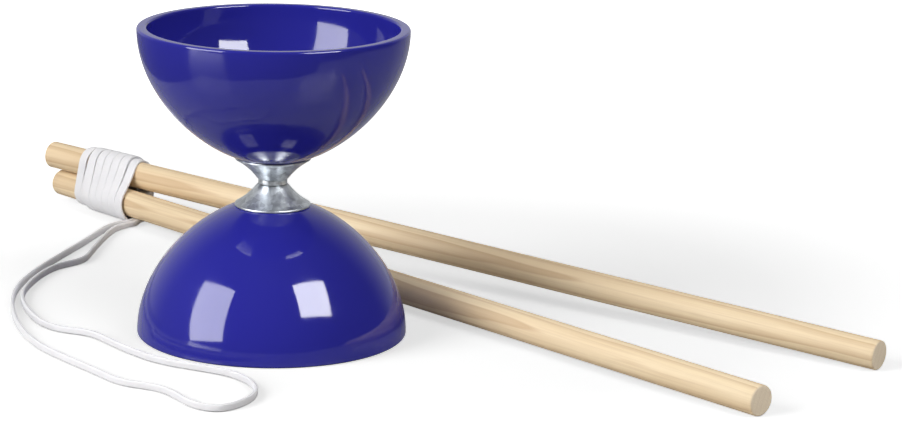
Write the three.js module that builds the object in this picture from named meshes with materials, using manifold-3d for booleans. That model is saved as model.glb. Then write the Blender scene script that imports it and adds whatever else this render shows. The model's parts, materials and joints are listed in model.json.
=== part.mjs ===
// A diabolo set. The spool stands on the rim of its lower cup: two hollow cups and a metal
// hub, clamped on one fixed axle. Beside it lie two wooden hand sticks, bound together near
// their left ends by their own string, whose free middle lies on the ground as a doubled loop.
// Millimetres, +Z up, the ground at z = 0.
import * as THREE from 'three';
import { mergeVertices } from 'three/addons/utils/BufferGeometryUtils.js';
import Module from 'manifold-3d';

// Spool. Every height here is measured from the middle of the hub, along the axle.
const rimRadius = 44.5;
const rimHeight = 51.25;
const rimWall = 3.4;
const rimFillet = 0.8;
const cupBaseThickness = 3.2;
const cupFloorRadius = 8;
const seatGap = 0.1;

// Hub: a narrow track ring for the string, between two cones that flare out to the cups.
const trackRadius = 4.8;
const trackHalfWidth = 0.75;
const coneNeckRadius = 5.1;
const coneNeckHeight = 0.95;
const coneFlangeRadius = 12.1;
const coneLipRadius = 12.5;
const coneLipHeight = 7.3;
const coneTopHeight = 8.1;

// Axle: a rod with a lock nut and a washer inside each cup.
const rodRadius = 2.5;
const rodHalfLength = 19;
const boreRadius = 2.8;
const washerRadius = 7.5;
const washerThickness = 1.2;
const nutAcrossFlats = 8;
const nutHexHeight = 3.6;
const nutHeight = 5;
const nutCollarRadius = 3.95;
const insertRadius = 3.35;
const insertGap = 0.15;

// Sticks: plain dowels with chamfered ends. A heading is measured in plan, from +X.
const stickRadius = 5;
const stickLength = 360;
const stickChamfer = 0.6;
const stickGap = 0.35;
const frontStickLeftEnd = new THREE.Vector2(-80.5, 183.4);
const frontStickHeading = THREE.MathUtils.degToRad(-50.3);
const rearStickHeading = THREE.MathUtils.degToRad(-39.1);
const crossingOnFrontStick = 11;
const crossingOnRearStick = 13.4;

// String: a braid 2.5 mm wide, drawn flatter where it is wound tight round both sticks.
const stringRadius = 1.25;
const stringSides = 8;
const stringSteps = 80;
const stringHeight = 1.3;
const windingThickness = 1.6;
const windingGap = 0.45;
const windingStart = 16;
const windingEnd = 42.6;
const windingEdge = 0.9;
// How much further along the stick an end of the winding is at the bottom than half way up.
const windingStartLean = -0.8;
const windingEndLean = 1.4;

// Route of the free loop, in plan from the spool's axis: out from the winding, round the
// ground in front of the cup, and back beside itself.
const loopRoute = [
  [-52.5, 144.3], [-58.2, 139.4], [-62.2, 131.4], [-66.8, 117.0], [-74.6, 95.0], [-81.8, 73.5],
  [-86.8, 53.5], [-88.0, 38.0], [-86.8, 18.5], [-82.6, -3.0], [-75.2, -22.8],
  [-64.6, -39.2], [-53.0, -55.5], [-45.5, -64.2], [-36.0, -69.4], [-29.4, -77.8],
  [-23.6, -87.0], [-16.8, -90.6], [-9.6, -85.6], [-5.2, -75.0], [-6.6, -64.2],
  [-13.0, -54.2], [-24.0, -46.8], [-34.0, -40.8], [-43.5, -31.0], [-53.5, -16.5],
  [-61.0, -7.4], [-69.0, -3.4], [-75.4, 3.2], [-80.8, 15.8], [-84.3, 30.5],
  [-84.9, 44.0], [-82.6, 58.5], [-78.9, 71.0], [-74.6, 79.0], [-68.2, 86.0],
  [-65.2, 96.5], [-60.0, 126.0], [-56.6, 135.6], [-50.7, 142.3],
];

// Roundness of the turned pieces, in facets.
const cupFacets = 48;
const hubFacets = 36;
const smallFacets = 24;
const stickFacets = 28;
const curvePoints = 9;
const filletPoints = 3;
const windingArcPoints = 12;

const finishes = {
  plastic: { color: 0x23289b, roughness: 0.16, metalness: 0 },
  zinc: { color: 0xa9acb0, roughness: 0.38, metalness: 1 },
  steel: { color: 0x8d9094, roughness: 0.32, metalness: 1 },
  nylon: { color: 0xdfe3e6, roughness: 0.5, metalness: 0 },
  pine: { color: 0xe2c494, roughness: 0.62, metalness: 0 },
  braid: { color: 0xf2f1f4, roughness: 0.9, metalness: 0 },
};

const up = new THREE.Vector3(0, 0, 1);

const wasm = await Module();
wasm.setup();

function piece(name, geometry, finish) {
  const mesh = new THREE.Mesh(geometry, new THREE.MeshStandardMaterial(finishes[finish]));
  mesh.name = name;
  return mesh;
}

// Turns a closed outline of [radius, height] pairs round the Z axis.
function revolve(outline, facets) {
  const points = outline.map(([radius, height]) => new THREE.Vector2(radius, height));
  return new THREE.LatheGeometry(points, facets).rotateX(Math.PI / 2);
}

// The same outline for the upper half of the spool (side 1) or the lower half (side -1).
function revolveHalf(outline, side, facets) {
  const turned = outline.map(([radius, height]) => [radius, side * height]);
  return revolve(side > 0 ? turned : turned.reverse(), facets);
}

function ring(innerRadius, outerRadius, bottom, top) {
  return [
    [innerRadius, bottom], [outerRadius, bottom], [outerRadius, top], [innerRadius, top],
    [innerRadius, bottom],
  ];
}

function curvePairs(curve, divisions) {
  return curve.getPoints(divisions).map((point) => [point.x, point.y]);
}

function bezier(...points) {
  return new THREE.CubicBezierCurve(...points.map(([x, y]) => new THREE.Vector2(x, y)));
}

// A quarter circle that rounds a rim edge, from angle start, a quarter turn anticlockwise.
function fillet(centreRadius, centreHeight, start) {
  const arc = new THREE.EllipseCurve(
    centreRadius, centreHeight, rimFillet, rimFillet, start, start + Math.PI / 2,
  );
  return curvePairs(arc, filletPoints);
}

// One cup: a bowl whose wall runs from the hub cone's flange to a flat rim.
function cupOutline() {
  const baseHeight = coneTopHeight + seatGap;
  const floorHeight = baseHeight + cupBaseThickness;
  const filletHeight = rimHeight - rimFillet;
  const innerRadius = rimRadius - rimWall;
  const outside = bezier(
    [coneLipRadius - 0.2, baseHeight], [29.6, 14.9], [44.4, 32.5], [rimRadius, filletHeight],
  );
  const inside = bezier(
    [innerRadius, filletHeight], [41.0, 33.0], [27.8, 17.2], [cupFloorRadius, floorHeight],
  );
  return [
    [boreRadius, baseHeight],
    ...curvePairs(outside, curvePoints),
    ...fillet(rimRadius - rimFillet, filletHeight, 0).slice(1),
    ...fillet(innerRadius + rimFillet, filletHeight, Math.PI / 2),
    ...curvePairs(inside, curvePoints).slice(1),
    [boreRadius, floorHeight],
    [boreRadius, baseHeight],
  ];
}

// One hub cone: a hollow flare from the track ring's neck to a thin flange lip.
function coneOutline() {
  const flare = new THREE.QuadraticBezierCurve(
    new THREE.Vector2(coneNeckRadius, coneNeckHeight),
    new THREE.Vector2(8.1, 5.0),
    new THREE.Vector2(coneFlangeRadius, coneLipHeight),
  );
  return [
    [boreRadius, coneNeckHeight],
    ...curvePairs(flare, 6),
    [coneLipRadius, coneLipHeight + 0.2],
    [coneLipRadius, coneTopHeight],
    [boreRadius, coneTopHeight],
    [boreRadius, coneNeckHeight],
  ];
}

function toSolid(geometry) {
  const bare = geometry.clone();
  bare.deleteAttribute('normal');
  bare.deleteAttribute('uv');
  const merged = mergeVertices(bare, 1e-4);
  return new wasm.Manifold(new wasm.Mesh({
    numProp: 3,
    vertProperties: merged.attributes.position.array,
    triVerts: Uint32Array.from(merged.index.array),
  }));
}

function toGeometry(solid) {
  const mesh = solid.getMesh();
  const geometry = new THREE.BufferGeometry();
  geometry.setAttribute('position', new THREE.BufferAttribute(mesh.vertProperties, 3));
  geometry.setIndex(new THREE.BufferAttribute(mesh.triVerts, 1));
  return geometry;
}

function disc(radius, bottom, top, facets) {
  return revolve([[0, bottom], [radius, bottom], [radius, top], [0, top]], facets);
}

// A lock nut, its base at z = 0: a hexagon, a round collar, the bore and the insert's recess.
function lockNutGeometry() {
  const hexagon = new THREE.Shape();
  for (let corner = 0; corner < 6; corner += 1) {
    const angle = corner * Math.PI / 3;
    const radius = nutAcrossFlats / Math.sqrt(3);
    hexagon.lineTo(radius * Math.cos(angle), radius * Math.sin(angle));
  }
  const hex = new THREE.ExtrudeGeometry(hexagon, { depth: nutHexHeight, bevelEnabled: false });
  const collar = disc(nutCollarRadius, 1, nutHeight, smallFacets);
  const bore = disc(boreRadius, -1, nutHeight + 1, smallFacets);
  const recess = disc(insertRadius + insertGap, nutHexHeight, nutHeight + 1, smallFacets);
  const nut = toSolid(hex).add(toSolid(collar)).subtract(toSolid(bore));
  return toGeometry(nut.subtract(toSolid(recess)));
}

function hubHalf(side, label) {
  const washerSeat = coneTopHeight + 2 * seatGap + cupBaseThickness;
  const nutSeat = washerSeat + washerThickness + seatGap;
  const insertSeat = nutSeat + nutHexHeight + insertGap;
  const insertTop = nutSeat + nutHeight - insertGap;
  const washer = ring(boreRadius, washerRadius, washerSeat, washerSeat + washerThickness);
  const insert = ring(boreRadius, insertRadius, insertSeat, insertTop);
  const nut = piece(`${label}_lock_nut`, lockNutGeometry(), 'steel');
  nut.position.z = side * nutSeat;
  nut.rotation.x = side > 0 ? 0 : Math.PI;
  return [
    piece(`${label}_cup`, revolveHalf(cupOutline(), side, cupFacets), 'plastic'),
    piece(`${label}_hub_cone`, revolveHalf(coneOutline(), side, hubFacets), 'zinc'),
    piece(`${label}_washer`, revolveHalf(washer, side, smallFacets), 'steel'),
    nut,
    piece(`${label}_nut_insert`, revolveHalf(insert, side, smallFacets), 'nylon'),
  ];
}

function spool() {
  const track = ring(boreRadius, trackRadius, -trackHalfWidth, trackHalfWidth);
  const rod = disc(rodRadius, -rodHalfLength, rodHalfLength, smallFacets);
  const group = new THREE.Group();
  group.add(...hubHalf(1, 'upper'), ...hubHalf(-1, 'lower'));
  group.add(piece('track_ring', revolve(track, hubFacets), 'zinc'));
  group.add(piece('axle_rod', rod, 'steel'));
  group.position.z = rimHeight;
  return group;
}

// A stick's centre line, from its left end: start point, unit direction, and a point on it.
function stickLine(start, end) {
  const direction = end.clone().sub(start).normalize();
  return { start, direction, at: (distance) => start.clone().addScaledVector(direction, distance) };
}

function headingVector(heading, distance) {
  return new THREE.Vector3(Math.cos(heading), Math.sin(heading), 0).multiplyScalar(distance);
}

// The front stick rests on its right end and on the winding under it.
function frontLine() {
  const rest = stickRadius + windingGap + windingThickness;
  const slope = (rest - stickRadius) / (stickLength - windingEnd - windingEndLean);
  const start = new THREE.Vector3(frontStickLeftEnd.x, frontStickLeftEnd.y, 0);
  start.z = stickRadius + slope * stickLength;
  const end = start.clone().add(headingVector(frontStickHeading, stickLength));
  end.z = stickRadius;
  return stickLine(start, end);
}

// The rear stick crosses on top of the front one and comes down to the ground at its right end.
function rearLine(front) {
  const crossing = front.at(crossingOnFrontStick);
  crossing.z += 2 * stickRadius + stickGap + 0.1;
  const beyond = stickLength - crossingOnRearStick;
  const end = crossing.clone().add(headingVector(rearStickHeading, beyond));
  end.z = stickRadius;
  const line = stickLine(crossing, end);
  return stickLine(line.at(-crossingOnRearStick), line.at(beyond));
}

function stick(name, line) {
  const outline = [
    [0, 0], [stickRadius - stickChamfer, 0], [stickRadius, stickChamfer],
    [stickRadius, stickLength - stickChamfer], [stickRadius - stickChamfer, stickLength],
    [0, stickLength],
  ];
  const mesh = piece(name, revolve(outline, stickFacets), 'pine');
  mesh.position.copy(line.start);
  mesh.quaternion.setFromUnitVectors(up, line.direction);
  return mesh;
}

// Outline of a belt stretched round both sticks. The lean moves it on round the front stick
// and back round the rear one, from the plane square to the front stick.
function beltOutline(front, rear, distance, lean, radius) {
  const centre = front.at(distance + lean);
  const along = rear.direction.dot(front.direction);
  const offset = front.at(distance - lean).sub(rear.start).dot(front.direction);
  const other = rear.at(offset / along);
  const outward = other.clone().sub(centre).projectOnPlane(front.direction).normalize();
  const sideways = front.direction.clone().cross(outward);
  const points = [];
  for (const [middle, turn] of [[other, 0], [centre, Math.PI]]) {
    for (let step = 0; step <= windingArcPoints; step += 1) {
      const angle = turn - Math.PI / 2 + Math.PI * step / windingArcPoints;
      const point = middle.clone().addScaledVector(outward, radius * Math.cos(angle));
      points.push(point.addScaledVector(sideways, radius * Math.sin(angle)));
    }
  }
  return points;
}

// The winding's outer shape: a sleeve round both sticks, rounded off at its two ends.
function windingGeometry(front, rear) {
  const inner = stickRadius + windingGap;
  const outer = inner + windingThickness;
  const shoulder = inner + windingThickness / 2;
  const middle = (windingStart + windingEnd) / 2;
  const middleLean = (windingStartLean + windingEndLean) / 2;
  const rings = [
    beltOutline(front, rear, windingEnd, windingEndLean, inner),
    beltOutline(front, rear, middle, middleLean, inner),
    beltOutline(front, rear, windingStart, windingStartLean, inner),
    beltOutline(front, rear, windingStart, windingStartLean, shoulder),
    beltOutline(front, rear, windingStart + windingEdge, windingStartLean, outer),
    beltOutline(front, rear, middle, middleLean, outer),
    beltOutline(front, rear, windingEnd - windingEdge, windingEndLean, outer),
    beltOutline(front, rear, windingEnd, windingEndLean, shoulder),
  ];
  const sides = rings[0].length;
  const index = [];
  rings.forEach((_, current) => {
    const next = (current + 1) % rings.length;
    for (let side = 0; side < sides; side += 1) {
      const a = current * sides + side;
      const b = current * sides + (side + 1) % sides;
      const c = next * sides + (side + 1) % sides;
      const d = next * sides + side;
      index.push(a, b, c, a, c, d);
    }
  });
  const geometry = new THREE.BufferGeometry().setFromPoints(rings.flat());
  geometry.setIndex(index);
  return geometry;
}

// The free string: a round tube along the loop's route.
function loopGeometry() {
  const route = loopRoute.map(([x, y]) => new THREE.Vector3(x, y, stringHeight));
  const section = new THREE.Shape();
  for (let side = 0; side < stringSides; side += 1) {
    const angle = (side + 0.5) * 2 * Math.PI / stringSides;
    section.lineTo(stringRadius * Math.cos(angle), stringRadius * Math.sin(angle));
  }
  return new THREE.ExtrudeGeometry(section, {
    steps: stringSteps,
    extrudePath: new THREE.CatmullRomCurve3(route),
    bevelEnabled: false,
  });
}

const front = frontLine();
const rear = rearLine(front);
const rigid = new THREE.Group();
rigid.add(spool(), stick('front_stick', front), stick('rear_stick', rear));

const string = new THREE.Group();
string.add(piece('string_winding', windingGeometry(front, rear), 'braid'));
string.add(piece('string_loop', loopGeometry(), 'braid'));

// The origin is on the ground, under the middle of the box round the spool and the sticks.
const box = new THREE.Box3().setFromObject(rigid, true);
const middle = box.getCenter(new THREE.Vector3());
const group = new THREE.Group();
group.add(rigid, string);
group.position.set(-middle.x, -middle.y, 0);

export default group;
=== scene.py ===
"""Looks for a diabolo set: a blue spool on a zinc hub, and two pine hand sticks bound with their
own white string. The spool's turned pieces, the sticks and the string are fine meshes that
stand for the plain CAD ones. Lengths are in metres, worked out from millimetres where marked."""

import json
import math

import bmesh
import bpy
import numpy as np
from mathutils import Matrix, Vector


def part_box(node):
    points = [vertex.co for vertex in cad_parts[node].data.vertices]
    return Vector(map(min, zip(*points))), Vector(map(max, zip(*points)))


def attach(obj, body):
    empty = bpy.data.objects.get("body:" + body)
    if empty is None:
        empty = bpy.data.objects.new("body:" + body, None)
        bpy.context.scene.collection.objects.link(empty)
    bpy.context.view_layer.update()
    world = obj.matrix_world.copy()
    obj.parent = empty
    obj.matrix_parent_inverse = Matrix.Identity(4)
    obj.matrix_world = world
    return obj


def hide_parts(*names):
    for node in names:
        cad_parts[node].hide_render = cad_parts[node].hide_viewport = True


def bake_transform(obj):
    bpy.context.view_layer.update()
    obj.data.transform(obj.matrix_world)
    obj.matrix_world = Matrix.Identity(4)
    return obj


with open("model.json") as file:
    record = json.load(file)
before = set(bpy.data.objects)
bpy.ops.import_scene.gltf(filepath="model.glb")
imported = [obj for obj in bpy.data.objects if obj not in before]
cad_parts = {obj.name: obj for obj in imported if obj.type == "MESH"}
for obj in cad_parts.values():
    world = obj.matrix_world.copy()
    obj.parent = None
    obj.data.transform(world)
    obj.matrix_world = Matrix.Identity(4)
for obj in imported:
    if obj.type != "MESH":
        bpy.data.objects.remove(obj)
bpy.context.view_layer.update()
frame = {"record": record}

MM = 0.001
UP = Vector((0, 0, 1))

# Spool, in millimetres. Heights are measured from the middle of the hub, along the axle.
RIM_RADIUS = 44.5
RIM_HEIGHT = 51.25
RIM_WALL = 3.4
RIM_FILLET = 0.8
CUP_BASE_THICKNESS = 3.2
CUP_FLOOR_RADIUS = 8.0
SEAT_GAP = 0.1
BORE_RADIUS = 2.8
TRACK_RADIUS = 4.8
TRACK_HALF_WIDTH = 0.75
CONE_NECK_RADIUS = 5.1
CONE_NECK_HEIGHT = 0.95
CONE_FLANGE_RADIUS = 12.1
CONE_LIP_RADIUS = 12.5
CONE_LIP_HEIGHT = 7.3
CONE_TOP_HEIGHT = 8.1
ROD_RADIUS = 2.5
ROD_HALF_LENGTH = 19.0
THREAD_PITCH = 0.8
THREAD_DEPTH = 0.32
WASHER_RADIUS = 7.5
WASHER_THICKNESS = 1.2
NUT_ACROSS_FLATS = 8.0
NUT_HEX_HEIGHT = 3.6
NUT_HEIGHT = 5.0
NUT_COLLAR_RADIUS = 3.95
INSERT_RADIUS = 3.35
INSERT_GAP = 0.15

# Sticks, in millimetres.
STICK_RADIUS = 5.0
STICK_LENGTH = 360.0
STICK_CHAMFER = 0.6

# String, in millimetres: a soft hollow braid. Wound tight it lies flat; free, it stands on edge.
STRING_HEIGHT = 1.3
# Half widths and half thicknesses of its section: wound, coming in under the front stick, on the
# ground just outside the winding, and free. LOOSENING is how far it takes to become free.
WOUND_SECTION = (1.83, 0.45)
WIDTH_SWING = 0.16
ENTRY_SECTION = (1.2, 0.5)
EXIT_SECTION = (0.98, 1.02)
LOOSE_SECTION = (0.78, 1.24)
LOOSENING = 14.0
LOOP_KNOT_STEP = 3.0
# Distances of the two layers' middle from a stick's centre line.
INNER_LAYER = 5.56
OUTER_LAYER = 6.48
# Where each pass of a strand crosses the top and the bottom of the winding, along the front
# stick. A tail is what follows the last pass, as (turn, distance) pairs.
COVER_FIRST = 50.7
COVER_TOPS = (39.0, 35.6, 32.2, 28.8, 25.4, 21.6, 17.7)
COVER_BOTTOMS = (45.3, 41.3, 37.3, 33.3, 29.3, 25.2, 17.7)
COVER_TAIL = ((7.8, 17.9), (8.02, 18.9))
UNDER_FIRST = 48.0
UNDER_TOPS = (35.9, 32.4, 28.9, 25.4, 21.9)
UNDER_BOTTOMS = (39.8, 35.6, 31.4, 27.2, 21.5)
UNDER_TAIL = ((5.8, 21.6),)
ENTRY_TURN = 0.79
PRESSED_TURN = 1.4
TURN_BLUR = 0.1
KNOTS_PER_TURN = 24
RING_STEP = 0.45
STRING_SIDES = 24
BRAID_STRANDS = 6
BRAID_ADVANCE = 1.35
BRAID_RELIEF = 0.05
END_ROUNDING = 1.2
# The section's corners: a power that grows where the string is pressed flat, and a crease along
# the middle of each wide side.
CORNER_POWER = 3.3
FLAT_POWER = 0.5
PRESSED_POWER = 2.6
CREASE = 0.08
CREASE_WIDTH = 0.3

# Route of the free loop, in plan from the spool's axis, in millimetres: out from the winding,
# round the ground in front of the cup, and back beside itself.
LOOP_ROUTE = [
    (-52.5, 144.3), (-58.2, 139.4), (-62.2, 131.4), (-66.8, 117.0), (-74.6, 95.0), (-81.8, 73.5),
    (-86.8, 53.5), (-88.0, 38.0), (-86.8, 18.5), (-82.6, -3.0), (-75.2, -22.8),
    (-64.6, -39.2), (-53.0, -55.5), (-45.5, -64.2), (-36.0, -69.4), (-29.4, -77.8),
    (-23.6, -87.0), (-16.8, -90.6), (-9.6, -85.6), (-5.2, -75.0), (-6.6, -64.2),
    (-13.0, -54.2), (-24.0, -46.8), (-34.0, -40.8), (-43.5, -31.0), (-53.5, -16.5),
    (-61.0, -7.4), (-69.0, -3.4), (-75.4, 3.2), (-80.8, 15.8), (-84.3, 30.5),
    (-84.9, 44.0), (-82.6, 58.5), (-78.9, 71.0), (-74.6, 79.0), (-68.2, 86.0),
    (-65.2, 96.5), (-60.0, 126.0), (-56.6, 135.6), (-50.7, 142.3),
]

# Stage, in metres. The cards lie just above the floor, and a lamp for the gloss stands nearer
# than its lamp for the light, which would hide it. The floor's glow grows between two distances.
FLOOR_REACH = 30.0
CARD_HEIGHT = 0.0004
GLOSS_NEARER = 0.01
FLOOR_GLOW = (0.52, 1.3)
FLOOR_GLOW_FROM = (0.12, 0.50)
# Plan of the grey card under the set, and of the dark card's outer edge, point by point.
GREY_CARD = [
    (-0.245, 0.9), (-0.205, -0.135), (-0.085, -0.205), (0.055, -0.21), (0.13, -0.29),
    (0.42, -0.16), (0.5, 0.9),
]
DARK_CARD_EDGE = [
    (-6, 0.9), (-6, -3), (-0.085, -6), (0.055, -6), (3, -6), (6, -3), (6, 0.9),
]

mounts = {mount["name"]: mount for mount in frame["record"]["mounts"]}
ring_low, ring_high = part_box("track_ring")
hub = (ring_low + ring_high) / 2


# --- Camera -------------------------------------------------------------------------------

def make_camera():
    """A long lens from a little above, turned slightly towards +X."""
    pitch, yaw, roll = 0.2401, 0.0608, 0.0210
    forward = Vector((
        math.sin(yaw) * math.cos(pitch), math.cos(yaw) * math.cos(pitch), -math.sin(pitch)
    ))
    level = Vector((math.cos(yaw), -math.sin(yaw), 0))
    upright = level.cross(forward)
    right = math.cos(roll) * level + math.sin(roll) * upright
    top = math.cos(roll) * upright - math.sin(roll) * level
    data = bpy.data.cameras.new("camera")
    data.sensor_width = 36.0
    data.lens = 126.95
    data.clip_start, data.clip_end = 0.05, 100.0
    camera = bpy.data.objects.new("camera", data)
    turned = Matrix((right, top, -forward)).transposed().to_4x4()
    position = Vector((hub.x, hub.y, 0)) + Vector((-0.00316, -1.01794, 0.28916))
    camera.matrix_world = Matrix.Translation(position) @ turned
    bpy.context.scene.collection.objects.link(camera)
    bpy.context.scene.camera = camera


# --- Mesh helpers -------------------------------------------------------------------------

def make_object(name, vertices, faces, material, sharp_degrees=None):
    mesh = bpy.data.meshes.new(name)
    mesh.from_pydata([tuple(v) for v in vertices], [], [tuple(f) for f in faces])
    made = bpy.data.objects.new(name, mesh)
    bpy.context.scene.collection.objects.link(made)
    mesh.materials.append(material)
    for polygon in mesh.polygons:
        polygon.use_smooth = True
    if sharp_degrees is not None:
        tidy_mesh(mesh)
        mesh.set_sharp_from_angle(angle=math.radians(sharp_degrees))
    return made


def tidy_mesh(mesh):
    """Joins the points that meet on an axis and turns every face outwards."""
    work = bmesh.new()
    work.from_mesh(mesh)
    bmesh.ops.remove_doubles(work, verts=work.verts, dist=1e-7)
    bmesh.ops.dissolve_degenerate(work, edges=work.edges, dist=1e-8)
    bmesh.ops.recalc_face_normals(work, faces=work.faces)
    for face in work.faces:
        face.smooth = True
    work.to_mesh(mesh)
    work.free()


def curve_points(controls, count):
    """A Bezier curve through 3 or 4 control points, as count + 1 points."""
    points = [np.array(control, float) for control in controls]
    degree = len(points) - 1
    t = np.linspace(0, 1, count + 1)[:, None]
    total = sum(
        math.comb(degree, k) * (1 - t) ** (degree - k) * t ** k * points[k]
        for k in range(degree + 1)
    )
    return [tuple(p) for p in total]


def arc_points(centre, radius, start, turn, count):
    angles = [start + turn * k / count for k in range(count + 1)]
    return [
        (centre[0] + radius * math.cos(a), centre[1] + radius * math.sin(a)) for a in angles
    ]


def rounded(outline, radius, count=4):
    """A closed outline of straight sides whose corners are rounded off."""
    made = []
    for k, corner in enumerate(outline):
        here = np.array(corner, float)
        back = np.array(outline[k - 1], float) - here
        ahead = np.array(outline[(k + 1) % len(outline)], float) - here
        reach = min(radius, 0.45 * np.linalg.norm(back), 0.45 * np.linalg.norm(ahead))
        first = here + back / np.linalg.norm(back) * reach
        last = here + ahead / np.linalg.norm(ahead) * reach
        for t in np.linspace(0, 1, count + 1):
            made.append(tuple((1 - t) ** 2 * first + 2 * t * (1 - t) * here + t * t * last))
    return made


def turned(name, outline, material, segments=128, limit=None, sharp_degrees=32):
    """Turns a closed outline of (radius, height) in millimetres round Z. limit(angle, height)
    cuts the radius down, as the flats of a hexagon do."""
    sides = len(outline)
    vertices = []
    for k in range(segments):
        angle = 2 * math.pi * k / segments
        for radius, height in outline:
            reach = radius if limit is None else min(radius, limit(angle, height))
            vertices.append((
                reach * math.cos(angle) * MM, reach * math.sin(angle) * MM, height * MM
            ))
    faces = []
    for k in range(segments):
        ahead = (k + 1) % segments
        for side in range(sides):
            after = (side + 1) % sides
            faces.append((
                k * sides + side, ahead * sides + side, ahead * sides + after, k * sides + after
            ))
    return make_object(name, vertices, faces, material, sharp_degrees)


def tube_faces(rings, sides):
    """The walls and both end faces of a tube made of rings of points."""
    faces = []
    for k in range(rings - 1):
        for side in range(sides):
            after = (side + 1) % sides
            faces.append((
                k * sides + side, k * sides + after,
                (k + 1) * sides + after, (k + 1) * sides + side,
            ))
    faces.append(tuple(range(sides - 1, -1, -1)))
    faces.append(tuple((rings - 1) * sides + side for side in range(sides)))
    return faces


# --- Materials ----------------------------------------------------------------------------

class Nodes:
    """A material's node tree, with short calls for the nodes that the materials share."""

    def __init__(self, name):
        self.material = bpy.data.materials.new(name)
        self.material.use_nodes = True
        self.tree = self.material.node_tree
        self.shader = self.tree.nodes["Principled BSDF"]

    def add(self, kind, inputs=None, **settings):
        node = self.tree.nodes.new(kind)
        for key, value in settings.items():
            setattr(node, key, value)
        for key, value in (inputs or {}).items():
            self.put(node.inputs[key], value)
        return node

    def put(self, socket, value):
        if isinstance(value, bpy.types.NodeSocket):
            self.tree.links.new(value, socket)
        else:
            socket.default_value = value

    def place(self, scale=(1, 1, 1), rotation=(0, 0, 0), kind="Object"):
        source = self.add("ShaderNodeTexCoord")
        mapping = self.add("ShaderNodeMapping", {
            "Vector": source.outputs[kind], "Scale": scale, "Rotation": rotation,
        })
        return mapping.outputs["Vector"]

    def noise(self, vector, scale, detail=4.0, roughness=0.5, distortion=0.0):
        node = self.add("ShaderNodeTexNoise", {
            "Vector": vector, "Scale": scale, "Detail": detail, "Roughness": roughness,
            "Distortion": distortion,
        })
        return node.outputs["Fac"]

    def ramp(self, value, stops):
        node = self.add("ShaderNodeValToRGB", {"Fac": value})
        elements = node.color_ramp.elements
        while len(elements) < len(stops):
            elements.new(0.5)
        for element, (position, colour) in zip(elements, stops):
            element.position = position
            element.color = colour if len(colour) == 4 else (*colour, 1.0)
        return node.outputs["Color"]

    def spread(self, value, low, high, start=0.0, end=1.0):
        """Maps start..end to low..high."""
        node = self.add("ShaderNodeMapRange", {
            "Value": value, "From Min": start, "From Max": end, "To Min": low, "To Max": high,
        })
        return node.outputs["Result"]

    def maths(self, operation, first, second=0.0):
        node = self.add("ShaderNodeMath", operation=operation)
        self.put(node.inputs[0], first)
        self.put(node.inputs[1], second)
        return node.outputs[0]

    def mix(self, factor, first, second):
        node = self.add("ShaderNodeMix", data_type="RGBA")
        self.put(node.inputs["Factor"], factor)
        self.put(node.inputs["A"], first)
        self.put(node.inputs["B"], second)
        return node.outputs["Result"]

    def bump(self, height, distance, strength=1.0, normal=None):
        inputs = {"Height": height, "Distance": distance, "Strength": strength}
        if normal is not None:
            inputs["Normal"] = normal
        return self.add("ShaderNodeBump", inputs).outputs["Normal"]

    def finish(self, **sockets):
        for key, value in sockets.items():
            self.put(self.shader.inputs[key.replace("_", " ")], value)
        return self.material


def grey(level):
    return (level, level, level, 1.0)


def plastic_material():
    """Glossy moulded plastic: even royal blue, faint ripple, rubbed patches and hairlines."""
    n = Nodes("blue_plastic")
    drift = n.noise(n.place(), 22.0, 3.0)
    colour = n.mix(drift, (0.020, 0.020, 0.265, 1), (0.025, 0.025, 0.320, 1))
    rubbed = n.noise(n.place((1, 1, 1.4)), 60.0, 5.0, 0.6)
    hairline = n.noise(n.place((30, 30, 900), (0.2, 0.1, 0.0)), 1.0, 2.0)
    rough = n.maths("ADD", n.spread(rubbed, 0.03, 0.11, 0.35, 0.75), n.spread(hairline, 0, 0.03))
    ripple = n.bump(n.noise(n.place(), 45.0, 1.0), 0.00006, 0.5)
    scuffs = n.bump(hairline, 0.000004, 0.5, ripple)
    return n.finish(
        Base_Color=colour, Roughness=rough, Normal=scuffs, IOR=1.5, Specular_IOR_Level=0.5
    )


def metal_material(name, dark, light, low, high, turning):
    """Plated metal: mottled crystals, fine lathe rings and a roughness from low to high.
    turning is how fine the rings are."""
    n = Nodes(name)
    spangle = n.add("ShaderNodeTexVoronoi", {
        "Vector": n.place((1, 1, 0.8)), "Scale": 520.0, "Randomness": 1.0,
    }).outputs["Color"]
    crystals = n.add("ShaderNodeSeparateColor", {"Color": spangle}).outputs["Red"]
    cloud = n.noise(n.place(), 420.0, 6.0, 0.62)
    blotch = n.maths("ADD", n.maths("MULTIPLY", crystals, 0.35), n.maths("MULTIPLY", cloud, 0.75))
    colour = n.mix(n.spread(blotch, 0, 1, 0.38, 0.72), (*dark, 1), (*light, 1))
    rings = n.noise(n.place((3, 3, turning)), 1.0, 3.0, 0.7)
    rough = n.maths("ADD", n.spread(cloud, low, high, 0.3, 0.7), n.spread(rings, -0.04, 0.04))
    coarse = n.bump(cloud, 0.00005, 0.55)
    normal = n.bump(rings, 0.00002, 0.6, coarse)
    return n.finish(Base_Color=colour, Metallic=1.0, Roughness=rough, Normal=normal)


def nylon_material():
    """Pale, slightly cloudy nylon."""
    n = Nodes("nylon")
    cloud = n.noise(n.place(), 900.0, 4.0)
    colour = n.mix(cloud, (0.62, 0.66, 0.70, 1), (0.74, 0.77, 0.80, 1))
    return n.finish(
        Base_Color=colour, Roughness=n.spread(cloud, 0.4, 0.55),
        Normal=n.bump(cloud, 0.00003, 0.5), Subsurface_Weight=0.2, Subsurface_Radius=(1, 1, 1),
        Subsurface_Scale=0.0006,
    )


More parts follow.
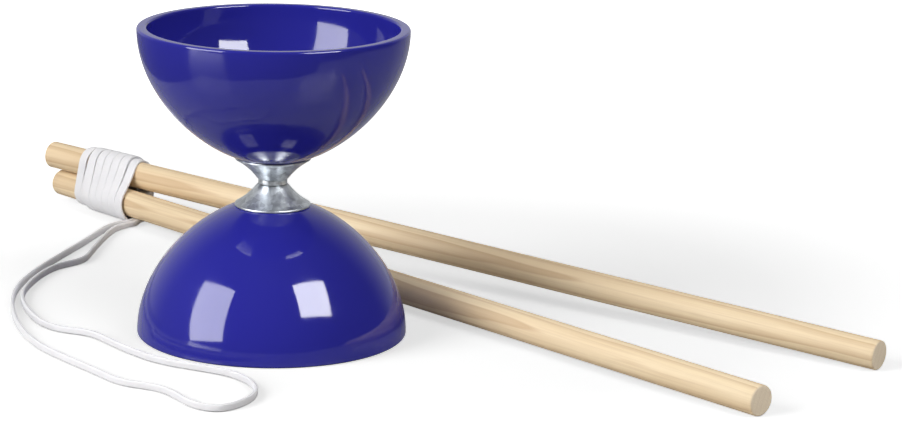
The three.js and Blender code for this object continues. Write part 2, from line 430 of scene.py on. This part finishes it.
def pine_material(name, pith, shift):
    """Pine cut from a solid log: growth rings round a pith line beside the stick, which show as
    long stripes on the side, with fibres, and faintly on the paler, porous sawn ends."""
    n = Nodes(name)
    source = n.add("ShaderNodeTexCoord").outputs
    moved = n.add(
        "ShaderNodeVectorMath", {0: source["Object"], 1: shift}, operation="ADD"
    ).outputs[0]
    stretch = n.add("ShaderNodeMapping", {"Vector": moved, "Scale": (60, 60, 5.5)})
    warp = n.noise(stretch.outputs["Vector"], 1.0, 3.0, 0.5)
    parts = n.add("ShaderNodeSeparateXYZ", {"Vector": moved}).outputs
    drift = n.maths("MULTIPLY", parts["Z"], 0.012)
    x = n.maths("ADD", n.maths("SUBTRACT", parts["X"], pith[0]), drift)
    y = n.maths("SUBTRACT", parts["Y"], pith[1])
    far = n.maths("SQRT", n.maths("ADD", n.maths("MULTIPLY", x, x), n.maths("MULTIPLY", y, y)))
    rings = n.maths("MULTIPLY", n.maths("ADD", far, n.maths("MULTIPLY", warp, 0.0050)), 430.0)
    within = n.maths("FRACT", rings)
    late = n.ramp(within, [
        (0.0, grey(0.0)), (0.5, grey(0.12)), (0.82, grey(0.75)), (0.92, grey(1.0)),
        (1.0, grey(0.0)),
    ])
    fibre_place = n.add("ShaderNodeMapping", {"Vector": moved, "Scale": (1500, 1500, 26)})
    fibre = n.noise(fibre_place.outputs["Vector"], 1.0, 4.0, 0.6)
    broad_place = n.add("ShaderNodeMapping", {"Vector": moved, "Scale": (150, 150, 9)})
    broad = n.noise(broad_place.outputs["Vector"], 1.0, 3.0, 0.55)
    pale = n.mix(n.spread(broad, 0, 1, 0.3, 0.7), (0.78, 0.60, 0.38, 1), (0.89, 0.735, 0.50, 1))
    striped = n.mix(n.maths("MULTIPLY", late, 0.5), pale, (0.50, 0.30, 0.14, 1))
    side = n.mix(n.spread(fibre, 0, 0.40, 0.45, 0.78), striped, (0.56, 0.39, 0.22, 1))
    facing = n.add("ShaderNodeSeparateXYZ", {"Vector": source["Normal"]}).outputs["Z"]
    sawn = n.spread(n.maths("ABSOLUTE", facing), 0, 0.75, 0.6, 0.95)
    pores = n.noise(n.place(), 2200.0, 3.0, 0.6)
    end_colour = n.mix(pores, (0.74, 0.60, 0.43, 1), (0.99, 0.88, 0.72, 1))
    colour = n.mix(sawn, side, end_colour)
    rough = n.spread(fibre, 0.52, 0.7, 0.3, 0.7)
    grain = n.bump(fibre, 0.00007, 0.5)
    normal = n.bump(late, 0.00004, 0.4, grain)
    return n.finish(Base_Color=colour, Roughness=rough, Normal=normal, Specular_IOR_Level=0.35)


def braid_material():
    """Soft white cotton: fine fibres that follow the strands both ways round the braid."""
    n = Nodes("white_braid")
    one = n.noise(n.place((2600, 30, 1), (0, 0, 0.6), "UV"), 1.0, 2.0)
    other = n.noise(n.place((2600, 30, 1), (0, 0, -0.6), "UV"), 1.0, 2.0)
    fuzz = n.noise(n.place(), 2400.0, 4.0, 0.65)
    fibres = n.maths("ADD", n.maths("MAXIMUM", one, other), n.maths("MULTIPLY", fuzz, 0.6))
    shade = n.noise(n.place(), 160.0, 2.0)
    clean = n.mix(shade, (0.75, 0.745, 0.76, 1), (0.83, 0.82, 0.835, 1))
    colour = n.mix(n.spread(fuzz, 0.2, 0.0, 0.3, 0.6), clean, (0.76, 0.75, 0.76, 1))
    return n.finish(
        Base_Color=colour, Roughness=n.spread(fuzz, 0.85, 1.0),
        Normal=n.bump(fibres, 0.00005, 0.5), Sheen_Weight=0.2, Sheen_Roughness=0.5,
        Specular_IOR_Level=0.2, Subsurface_Weight=0.3, Subsurface_Radius=(1, 0.95, 0.9),
        Subsurface_Scale=0.0008,
    )


# --- String -------------------------------------------------------------------------------

class StickLine:
    """A stick's centre line, in millimetres, from its left end."""

    def __init__(self, mount):
        self.direction = unit(np.array(mount["axis"], float))
        self.start = np.array(mount["pos_m"], float) / MM - self.direction * STICK_LENGTH

    def at(self, distance):
        return self.start + self.direction * distance


def unit(vector):
    return vector / np.linalg.norm(vector)


front = StickLine(mounts["front_stick_end"])
rear = StickLine(mounts["rear_stick_end"])


def section_at(distance):
    """Where both sticks pass the plane square to the front stick, and three directions: outward
    from the front stick to the rear one, and to the near side, square to each stick."""
    centre = front.at(distance)
    along = rear.direction @ front.direction
    other = rear.at((centre - rear.start) @ front.direction / along)
    outward = unit(other - centre)
    sideways = np.cross(front.direction, outward)
    return centre, other, outward, sideways, unit(np.cross(rear.direction, outward))


def belt_point(distance, turn, radius):
    """A point of a belt round both sticks, and the belt's outward normal. Turn 0 is half way up
    the far side, 0.25 the top, 0.5 half way down the near side and 0.75 the bottom."""
    centre, other, outward, sideways, slanted = section_at(distance)
    apart = np.linalg.norm(other - centre)
    half_turn = math.pi * radius
    travel = (turn % 1.0) * 2 * (half_turn + apart) + apart / 2
    if travel < apart:
        height, side = travel, -1
    elif travel < apart + half_turn:
        angle = (travel - apart) / radius
        normal = outward * math.sin(angle) - slanted * math.cos(angle)
        return other + normal * radius, normal
    elif travel < 2 * apart + half_turn:
        height, side = 2 * apart + half_turn - travel, 1
    elif travel < 2 * apart + 2 * half_turn:
        angle = (travel - 2 * apart - half_turn) / radius
        normal = sideways * math.cos(angle) - outward * math.sin(angle)
        return centre + normal * radius, normal
    else:
        height, side = travel - 2 * apart - 2 * half_turn, -1
    normal = side * unit(sideways + (slanted - sideways) * height / apart)
    return centre + outward * height + normal * radius, normal


def ease(value, start, end):
    t = min(1.0, max(0.0, (value - start) / (end - start)))
    return t * t * (3 - 2 * t)


def knot(point, normal, section):
    return np.concatenate([point, normal, section])


def wound_strand(first, tops, bottoms, tail, layer):
    """Knots along a strand that winds to the left, from where it comes in below the front stick.
    tops and bottoms say where each pass crosses the winding's top and bottom."""
    stops = [(ENTRY_TURN - TURN_BLUR, first), (ENTRY_TURN, first)]
    for k, (top, bottom) in enumerate(zip(tops, bottoms)):
        stops += [(k + 1.25, top), (k + 1.75, bottom)]
    turns, distances = np.array(stops + list(tail)).T
    count = round((turns[-1] - turns[1]) * KNOTS_PER_TURN)
    knots = []
    for turn in np.linspace(turns[1], turns[-1], count):
        nearby = turn + np.linspace(-TURN_BLUR, TURN_BLUR, 9)
        distance = np.interp(nearby, turns, distances).mean()
        point, normal = belt_point(distance, turn, layer(turn))
        pressed = ease(turn, ENTRY_TURN, PRESSED_TURN)
        width = WOUND_SECTION[0] - WIDTH_SWING * math.sin(2 * math.pi * turn)
        section = np.array(ENTRY_SECTION) * (1 - pressed)
        section += np.array((width, WOUND_SECTION[1])) * pressed
        knots.append(knot(point, normal, section))
    return knots


def cover_layer(turn):
    """The cover climbs on to the other strand during its first pass, and ends beside it."""
    climbed = ease(turn, PRESSED_TURN, 1.7) - ease(turn, 7.1, 7.4)
    return INNER_LAYER + (OUTER_LAYER - INNER_LAYER) * climbed


def string_knots():
    """The whole string: from its end under the cover, out below the front stick, round the free
    loop, back in beside itself, and along the cover to its other end."""
    under = wound_strand(
        UNDER_FIRST, UNDER_TOPS, UNDER_BOTTOMS, UNDER_TAIL, lambda turn: INNER_LAYER
    )
    cover = wound_strand(COVER_FIRST, COVER_TOPS, COVER_BOTTOMS, COVER_TAIL, cover_layer)
    plan = [(hub.x / MM + x, hub.y / MM + y, STRING_HEIGHT) for x, y in LOOP_ROUTE]
    places, travelled = spline_through(np.array(plan), LOOP_KNOT_STEP)
    loop = []
    for place, distance in zip(places, travelled):
        loose = ease(min(distance, travelled[-1] - distance), 0.0, LOOSENING)
        section = np.array(EXIT_SECTION) * (1 - loose) + np.array(LOOSE_SECTION) * loose
        loop.append(knot(place, -np.array(UP), section))
    return np.array(under[::-1] + loop + cover)


def spline_through(knots, step):
    """A smooth curve through the knots' first three numbers, evenly spaced, carrying the rest."""
    gaps = np.linalg.norm(np.diff(knots[:, :3], axis=0), axis=1)
    t = np.concatenate([[0], np.cumsum(gaps)])
    count = len(knots)
    system, right = np.zeros((count, count)), np.zeros((count, 3))
    system[0, 0] = system[-1, -1] = 1.0
    slopes = np.diff(knots[:, :3], axis=0) / gaps[:, None]
    for k in range(1, count - 1):
        system[k, k - 1:k + 2] = gaps[k - 1], 2 * (gaps[k - 1] + gaps[k]), gaps[k]
        right[k] = 6 * (slopes[k] - slopes[k - 1])
    bend = np.linalg.solve(system, right)
    fine = np.linspace(0, t[-1], int(t[-1] / step * 4))
    k = np.clip(np.searchsorted(t, fine, side="right") - 1, 0, count - 2)
    a, b, h = (t[k + 1] - fine)[:, None], (fine - t[k])[:, None], gaps[k][:, None]
    line = (
        bend[k] * a ** 3 / (6 * h) + bend[k + 1] * b ** 3 / (6 * h)
        + (knots[k, :3] / h - bend[k] * h / 6) * a
        + (knots[k + 1, :3] / h - bend[k + 1] * h / 6) * b
    )
    rest = knots[k, 3:] + (knots[k + 1, 3:] - knots[k, 3:]) * (b / h)
    along = np.concatenate([[0], np.cumsum(np.linalg.norm(np.diff(line, axis=0), axis=1))])
    even = np.linspace(0, along[-1], int(along[-1] / step))
    both = np.hstack([line, rest])
    return np.stack([np.interp(even, along, both[:, c]) for c in range(both.shape[1])], 1), even


def braid_height(across, along):
    """Relief of a braid from 0 to 1: two families of strands that pass over and under."""
    p = across * BRAID_STRANDS + along / BRAID_ADVANCE / 2
    q = across * BRAID_STRANDS - along / BRAID_ADVANCE / 2
    over = (np.floor(p) + np.floor(q)) % 2 == 0
    dip_p, dip_q = np.sin(np.pi * (p % 1)), np.sin(np.pi * (q % 1))
    return np.where(over, dip_p * dip_q ** 0.4, dip_q * dip_p ** 0.4)


def string_surface(rings, along):
    """Points of the braided tube, ring by ring."""
    centre, normal = rings[:, :3], rings[:, 3:6]
    wide, thick = rings[:, 6:7].copy(), rings[:, 7:8].copy()
    tangent = np.gradient(centre, axis=0)
    tangent /= np.linalg.norm(tangent, axis=1)[:, None]
    across = np.cross(tangent, normal)
    across /= np.linalg.norm(across, axis=1)[:, None]
    normal = np.cross(across, tangent)
    ends = np.minimum(along, along[-1] - along)[:, None]
    closing = np.sqrt(np.clip(1 - np.clip(1 - ends / END_ROUNDING, 0, 1) ** 2, 0.0004, 1))
    wide, thick = wide * closing, thick * closing
    angle = 2 * np.pi * np.arange(STRING_SIDES) / STRING_SIDES
    c, s = np.cos(angle)[None, :], np.sin(angle)[None, :]
    flatness = np.clip((wide - thick) / 0.8, -1, 1)
    pressed = np.clip(flatness, 0, 1)
    squareness = 2 / (CORNER_POWER + FLAT_POWER * flatness + PRESSED_POWER * pressed)
    x = np.sign(c) * np.abs(c) ** squareness
    y = np.sign(s) * np.abs(s) ** squareness
    crease = CREASE * np.exp(-((x / CREASE_WIDTH) ** 2)) * pressed
    side_crease = CREASE * np.exp(-((y / CREASE_WIDTH) ** 2)) * np.clip(-flatness, 0, 1)
    x, y = x * wide * (1 - side_crease), y * thick * (1 - crease)
    nx, ny = x / wide ** 2, y / thick ** 2
    size = np.sqrt(nx ** 2 + ny ** 2)
    relief = BRAID_RELIEF * closing * (
        braid_height(angle[None, :] / (2 * np.pi), along[:, None]) - 0.5
    )
    x, y = x + relief * nx / size, y + relief * ny / size
    return (
        centre[:, None, :] + across[:, None, :] * x[..., None] + normal[:, None, :] * y[..., None]
    )


def make_string(material):
    rings, along = spline_through(string_knots(), RING_STEP)
    points = string_surface(rings, along) * MM
    count = len(rings)
    vertices = points.reshape(-1, 3)
    corners = []
    for k in range(count - 1):
        here, ahead = along[k] * MM, along[k + 1] * MM
        for side in range(STRING_SIDES):
            left, right = side / STRING_SIDES, (side + 1) / STRING_SIDES
            corners += [(here, left), (here, right), (ahead, right), (ahead, left)]
    corners += [(0.0, 0.0)] * (2 * STRING_SIDES)
    made = make_object("string", vertices, tube_faces(count, STRING_SIDES), material)
    layer = made.data.uv_layers.new(name="along_and_round")
    layer.data.foreach_set("uv", np.array(corners, np.float32).ravel())
    made.data.update()
    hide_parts("string_winding", "string_loop")
    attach(made, "front_stick_and_string")
    made.parent = None
    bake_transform(made)
    return made


# --- Spool --------------------------------------------------------------------------------

def place_on_spool(piece, node):
    piece.location = hub
    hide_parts(node)
    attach(piece, "spool")


def half(outline, side):
    """An outline for the upper half of the spool (side 1) or the lower half (side -1)."""
    return [(radius, side * height) for radius, height in outline]


def cup_outline():
    base = CONE_TOP_HEIGHT + SEAT_GAP
    floor = base + CUP_BASE_THICKNESS
    fillet_height = RIM_HEIGHT - RIM_FILLET
    inner_radius = RIM_RADIUS - RIM_WALL
    outside = curve_points(
        [(CONE_LIP_RADIUS - 0.2, base), (29.6, 14.9), (44.4, 32.5), (RIM_RADIUS, fillet_height)],
        56,
    )
    inside = curve_points(
        [(inner_radius, fillet_height), (41.0, 33.0), (27.8, 17.2), (CUP_FLOOR_RADIUS, floor)],
        56,
    )
    quarter = math.pi / 2
    return [
        (BORE_RADIUS, base),
        *outside,
        *arc_points((RIM_RADIUS - RIM_FILLET, fillet_height), RIM_FILLET, 0, quarter, 8)[1:],
        *arc_points(
            (inner_radius + RIM_FILLET, fillet_height), RIM_FILLET, quarter, quarter, 8
        ),
        *inside[1:],
        (BORE_RADIUS, floor),
    ]


def cone_outline():
    flare = curve_points(
        [(CONE_NECK_RADIUS, CONE_NECK_HEIGHT), (8.1, 5.0), (CONE_FLANGE_RADIUS, CONE_LIP_HEIGHT)],
        28,
    )
    lip = rounded(
        [(CONE_FLANGE_RADIUS, CONE_LIP_HEIGHT), (CONE_LIP_RADIUS, CONE_LIP_HEIGHT + 0.2),
         (CONE_LIP_RADIUS, CONE_TOP_HEIGHT), (CONE_FLANGE_RADIUS, CONE_TOP_HEIGHT)], 0.22, 4,
    )
    return [
        (BORE_RADIUS, CONE_NECK_HEIGHT + 0.05), (CONE_NECK_RADIUS - 0.12, CONE_NECK_HEIGHT),
        *flare[1:-1], *lip[5:15], (BORE_RADIUS, CONE_TOP_HEIGHT),
    ]


def make_lock_nut(name, side, seat, material):
    """A hexagon with chamfered corners, and a round collar that is rolled over its insert."""
    chamfer_from = NUT_ACROSS_FLATS / 2 + 0.12
    collar_recess = INSERT_RADIUS + INSERT_GAP

    def flats(angle, height):
        turn = (angle + math.pi / 6) % (math.pi / 3) - math.pi / 6
        level = abs(height) - seat
        if level > NUT_HEX_HEIGHT:
            return 1e6
        hexagon = NUT_ACROSS_FLATS / 2 / math.cos(turn)
        from_face = min(level, NUT_HEX_HEIGHT - level)
        return min(hexagon, chamfer_from + 1.8 * max(0.0, from_face))

    corner = NUT_ACROSS_FLATS / math.sqrt(3)
    hex_sides = [(corner, seat + level) for level in (
        0.0, 0.08, 0.16, 0.25, 0.4, NUT_HEX_HEIGHT - 0.4, NUT_HEX_HEIGHT - 0.25,
        NUT_HEX_HEIGHT - 0.16, NUT_HEX_HEIGHT - 0.08, NUT_HEX_HEIGHT,
    )]
    top = seat + NUT_HEIGHT
    collar = [
        (NUT_COLLAR_RADIUS, seat + NUT_HEX_HEIGHT + 0.001),
        (NUT_COLLAR_RADIUS, top - 0.55),
        *arc_points((NUT_COLLAR_RADIUS - 0.45, top - 0.5), 0.45, 0, math.pi / 2, 5),
        (collar_recess, top - 0.05),
        (collar_recess, seat + NUT_HEX_HEIGHT),
        (BORE_RADIUS, seat + NUT_HEX_HEIGHT),
        (BORE_RADIUS, seat),
    ]
    return turned(name, half(hex_sides + collar, side), material, 96, flats, 30)


def make_rod(material):
    """A threaded rod with chamfered ends."""
    segments, per_pitch = 40, 6
    steps = int(2 * ROD_HALF_LENGTH / THREAD_PITCH * per_pitch)
    vertices = []
    for k in range(steps + 1):
        height = -ROD_HALF_LENGTH + 2 * ROD_HALF_LENGTH * k / steps
        from_end = ROD_HALF_LENGTH - abs(height)
        for side in range(segments):
            turn = side / segments
            phase = (height / THREAD_PITCH - turn) % 1.0
            groove = THREAD_DEPTH * max(0.0, 1 - abs(2 * phase - 1) * 1.25)
            reach = min(ROD_RADIUS - groove, ROD_RADIUS - 0.5 + from_end)
            vertices.append((
                reach * math.cos(2 * math.pi * turn) * MM,
                reach * math.sin(2 * math.pi * turn) * MM,
                height * MM,
            ))
    return make_object(
        "threaded_axle", vertices, tube_faces(steps + 1, segments), material, 50
    )


def make_spool(plastic, zinc, steel, nylon):
    ring = [
        (BORE_RADIUS, -TRACK_HALF_WIDTH), (TRACK_RADIUS, -TRACK_HALF_WIDTH),
        (TRACK_RADIUS, TRACK_HALF_WIDTH), (BORE_RADIUS, TRACK_HALF_WIDTH),
    ]
    track = turned("string_track", rounded(ring, 0.14), zinc, 96)
    place_on_spool(track, "track_ring")
    place_on_spool(make_rod(steel), "axle_rod")
    washer_seat = CONE_TOP_HEIGHT + 2 * SEAT_GAP + CUP_BASE_THICKNESS
    nut_seat = washer_seat + WASHER_THICKNESS + SEAT_GAP
    insert_low = nut_seat + NUT_HEX_HEIGHT + INSERT_GAP
    insert_high = nut_seat + NUT_HEIGHT - INSERT_GAP
    washer = rounded([
        (BORE_RADIUS, washer_seat), (WASHER_RADIUS, washer_seat),
        (WASHER_RADIUS, washer_seat + WASHER_THICKNESS),
        (BORE_RADIUS, washer_seat + WASHER_THICKNESS),
    ], 0.2)
    insert = rounded([
        (BORE_RADIUS, insert_low), (INSERT_RADIUS, insert_low), (INSERT_RADIUS, insert_high),
        (BORE_RADIUS, insert_high),
    ], 0.2)
    for label, side in (("upper", 1), ("lower", -1)):
        cup = turned(f"{label}_bowl", half(cup_outline(), side), plastic, 192)
        place_on_spool(cup, f"{label}_cup")
        cone = turned(f"{label}_cone", half(cone_outline(), side), zinc, 144)
        place_on_spool(cone, f"{label}_hub_cone")
        disc = turned(f"{label}_plain_washer", half(washer, side), steel, 96)
        place_on_spool(disc, f"{label}_washer")
        nut = make_lock_nut(f"{label}_nut", side, nut_seat, steel)
        place_on_spool(nut, f"{label}_lock_nut")
        lock = turned(f"{label}_insert", half(insert, side), nylon, 64)
        place_on_spool(lock, f"{label}_nut_insert")


# --- Sticks -------------------------------------------------------------------------------

def make_stick(name, node, body, line, material, seed):
    """A sanded dowel: almost round and straight, with softened ends."""
    segments, steps = 72, 120
    random = np.random.default_rng(seed)
    phases = random.uniform(0, 2 * math.pi, 4)
    vertices = []

    def add_ring(height, reach):
        for side in range(segments):
            angle = 2 * math.pi * side / segments
            wave = 0.03 * math.sin(2 * angle + phases[0] + height / 70)
            wave += 0.02 * math.sin(3 * angle + phases[1] - height / 45)
            wave += 0.02 * math.sin(height / 23 + phases[2]) - 0.03
            radius = reach * (1 + wave / STICK_RADIUS)
            vertices.append((
                radius * math.cos(angle) * MM, radius * math.sin(angle) * MM, height * MM
            ))

    edge = [
        (STICK_CHAMFER * (1 - math.sin(a)), STICK_RADIUS - STICK_CHAMFER * (1 - math.cos(a)))
        for a in np.linspace(math.pi / 2, 0, 6)
    ]
    profile = [(0.0, share * (STICK_RADIUS - STICK_CHAMFER)) for share in (0.02, 0.25, 0.5, 0.75)]
    profile += edge
    body_heights = np.linspace(STICK_CHAMFER, STICK_LENGTH - STICK_CHAMFER, steps)[1:-1]
    for height, reach in profile:
        add_ring(height, reach)
    for height in body_heights:
        add_ring(height, STICK_RADIUS)
    for height, reach in reversed(profile):
        add_ring(STICK_LENGTH - height, reach)
    faces = tube_faces(len(vertices) // segments, segments)
    stick = make_object(name, vertices, faces, material, 40)
    turn = UP.rotation_difference(Vector(line.direction)).to_matrix().to_4x4()
    stick.matrix_world = Matrix.Translation(Vector(line.start) * MM) @ turn
    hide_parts(node)
    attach(stick, body)


# --- Stage --------------------------------------------------------------------------------

def floor_material():
    """White paper that is lit more from below the further it is from the set."""
    n = Nodes("pale_floor")
    mottle = n.noise(n.place(), 3.0, 2.0)
    colour = n.mix(mottle, grey(0.95), grey(0.98))
    place = n.add("ShaderNodeTexCoord").outputs["Object"]
    far = n.add("ShaderNodeVectorMath", {0: place}, operation="LENGTH").outputs["Value"]
    return n.finish(
        Base_Color=colour, Roughness=0.85, Specular_IOR_Level=0.2, Emission_Color=grey(1.0),
        Emission_Strength=n.spread(far, *FLOOR_GLOW, *FLOOR_GLOW_FROM),
    )


def card_material(name, low, high):
    """Satin grey card: the gloss sees it below the horizon, with a soft image of the lamps."""
    n = Nodes(name)
    mottle = n.noise(n.place(), 3.0, 2.0)
    colour = n.mix(mottle, grey(low), grey(high))
    return n.finish(Base_Color=colour, Roughness=0.2, IOR=1.33)


def reflected_card(name, points, faces, material):
    """A card that the camera doesn't see. The set mirrors it, and takes its bounced light."""
    card = make_object(name, points, faces, material)
    card.visible_camera = False
    card.visible_shadow = False
    card.visible_transmission = False


def make_stage():
    corners = [(-1, -1), (1, -1), (1, 1), (-1, 1)]
    floor_points = [(x * FLOOR_REACH, y * FLOOR_REACH, 0) for x, y in corners]
    floor = make_object("floor", floor_points, [(0, 1, 2, 3)], floor_material())
    floor.visible_diffuse = False
    floor.visible_glossy = False
    count = len(GREY_CARD)
    surround = [(x, y, CARD_HEIGHT) for x, y in GREY_CARD + DARK_CARD_EDGE]
    whole = [tuple(range(count))]
    strips = [(k, k + 1, count + k + 1, count + k) for k in range(count - 1)]
    reflected_card("grey_table", surround[:count], whole, card_material("grey_card", 0.5, 0.53))
    reflected_card("dark_surround", surround, strips, card_material("dark_card", 0.10, 0.12))


def area_light(name, azimuth, elevation, distance, width, height, light, gloss=0.0, roll=0.0):
    """A softbox that faces the spool. Azimuth is from -Y towards +X and roll turns it in its own
    plane, in degrees. light and gloss say how bright its surface is to matt and to shiny
    things, as a lamp for each."""
    a, e = math.radians(azimuth), math.radians(elevation)
    towards = Vector((math.sin(a) * math.cos(e), -math.cos(a) * math.cos(e), math.sin(e)))
    facing = towards.to_track_quat("Z", "Y").to_matrix().to_4x4()
    for part, radiance, nearer in (("light", light, 0.0), ("gloss", gloss, GLOSS_NEARER)):
        if not radiance:
            continue
        data = bpy.data.lights.new(f"{name}_{part}", "AREA")
        data.shape = "RECTANGLE"
        data.size, data.size_y = width, height
        data.energy = radiance * math.pi * width * height
        lamp = bpy.data.objects.new(f"{name}_{part}", data)
        place = Matrix.Translation(hub + towards * (distance - nearer))
        lamp.matrix_world = place @ facing @ Matrix.Rotation(math.radians(roll), 4, "Z")
        lamp.visible_diffuse = part == "light"
        lamp.visible_glossy = part == "gloss"
        bpy.context.scene.collection.objects.link(lamp)


def world_strength(tree, axis, stops):
    """How bright the room is along one axis of the view direction."""
    source = tree.nodes.new("ShaderNodeTexCoord")
    parts = tree.nodes.new("ShaderNodeSeparateXYZ")
    tree.links.new(source.outputs["Generated"], parts.inputs[0])
    ramp = tree.nodes.new("ShaderNodeMapRange")
    ramp.interpolation_type = "SMOOTHSTEP"
    for key, value in zip(("From Min", "From Max", "To Min", "To Max"), stops):
        ramp.inputs[key].default_value = value
    tree.links.new(parts.outputs[axis], ramp.inputs["Value"])
    return ramp.outputs["Result"]


def make_lights():
    area_light(
        "left_window", azimuth=-61, elevation=22.7, distance=1.0, width=0.58, height=0.80,
        light=5.8, gloss=9.0, roll=12,
    )
    area_light(
        "right_softbox", azimuth=46, elevation=39.5, distance=1.1, width=0.53, height=0.52,
        light=4.9, gloss=17.0, roll=-13,
    )
    area_light(
        "overhead", azimuth=0, elevation=65, distance=1.6, width=1.9, height=1.5, light=1.2,
    )
    world = bpy.data.worlds.new("studio")
    bpy.context.scene.world = world
    world.use_nodes = True
    tree = world.node_tree
    backdrop = tree.nodes["Background"]
    behind = world_strength(tree, "Y", (0.3, 0.95, 0.06, 0.62))
    beside = world_strength(tree, "X", (-0.5, -0.95, 0.0, 0.12))
    total = tree.nodes.new("ShaderNodeMath")
    total.operation = "ADD"
    tree.links.new(behind, total.inputs[0])
    tree.links.new(beside, total.inputs[1])
    tree.links.new(total.outputs[0], backdrop.inputs["Strength"])
    backdrop.inputs["Color"].default_value = (1, 1, 1, 1)


make_camera()
make_string(braid_material())
make_spool(
    plastic_material(),
    metal_material("zinc", (0.48, 0.51, 0.54), (0.78, 0.82, 0.85), 0.30, 0.50, 5200.0),
    metal_material("plated_steel", (0.56, 0.57, 0.60), (0.78, 0.79, 0.80), 0.2, 0.34, 3000.0),
    nylon_material(),
)
make_stick(
    "front_dowel", "front_stick", "front_stick_and_string", front,
    pine_material("pine_front", (0.011, -0.008), (0.3, 0.1, 0.0)), 3,
)
make_stick(
    "rear_dowel", "rear_stick", "rear_hand_stick", rear,
    pine_material("pine_rear", (-0.012, 0.009), (0.7, 0.4, 1.0)), 8,
)
make_stage()
make_lights()
bpy.context.scene.view_settings.view_transform = "Standard"
